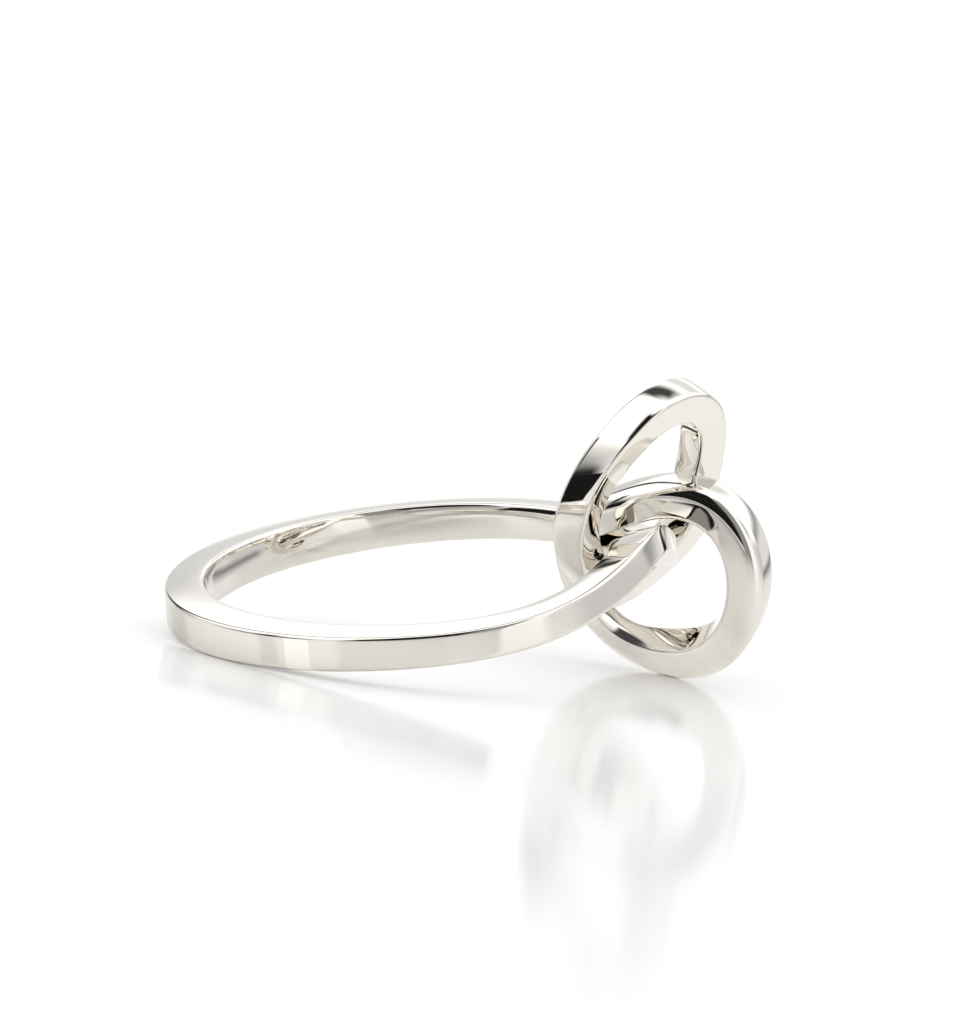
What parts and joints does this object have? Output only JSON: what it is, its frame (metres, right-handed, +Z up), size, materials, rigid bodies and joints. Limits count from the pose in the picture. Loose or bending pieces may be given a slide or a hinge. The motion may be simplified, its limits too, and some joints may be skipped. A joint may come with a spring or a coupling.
{
  "type": "knot ring",
  "caption": "Polished white metal finger ring: a plain round band whose head is a knot of interlocked open loops, soldered into one piece.",
  "frame": {"origin": "middle of the ring's bounding box, on the floor it lies on", "axes": "+Z up from the floor, +X toward the ring's head, -Y toward the front arm, which crosses over the loops"},
  "size_m": [0.0238, 0.0208, 0.0122],
  "materials": {
    "white_metal": "mirror polished, warm white"
  },
  "bodies": {
    "root": {"ring": "white_metal"}
  },
  "joints": []
}
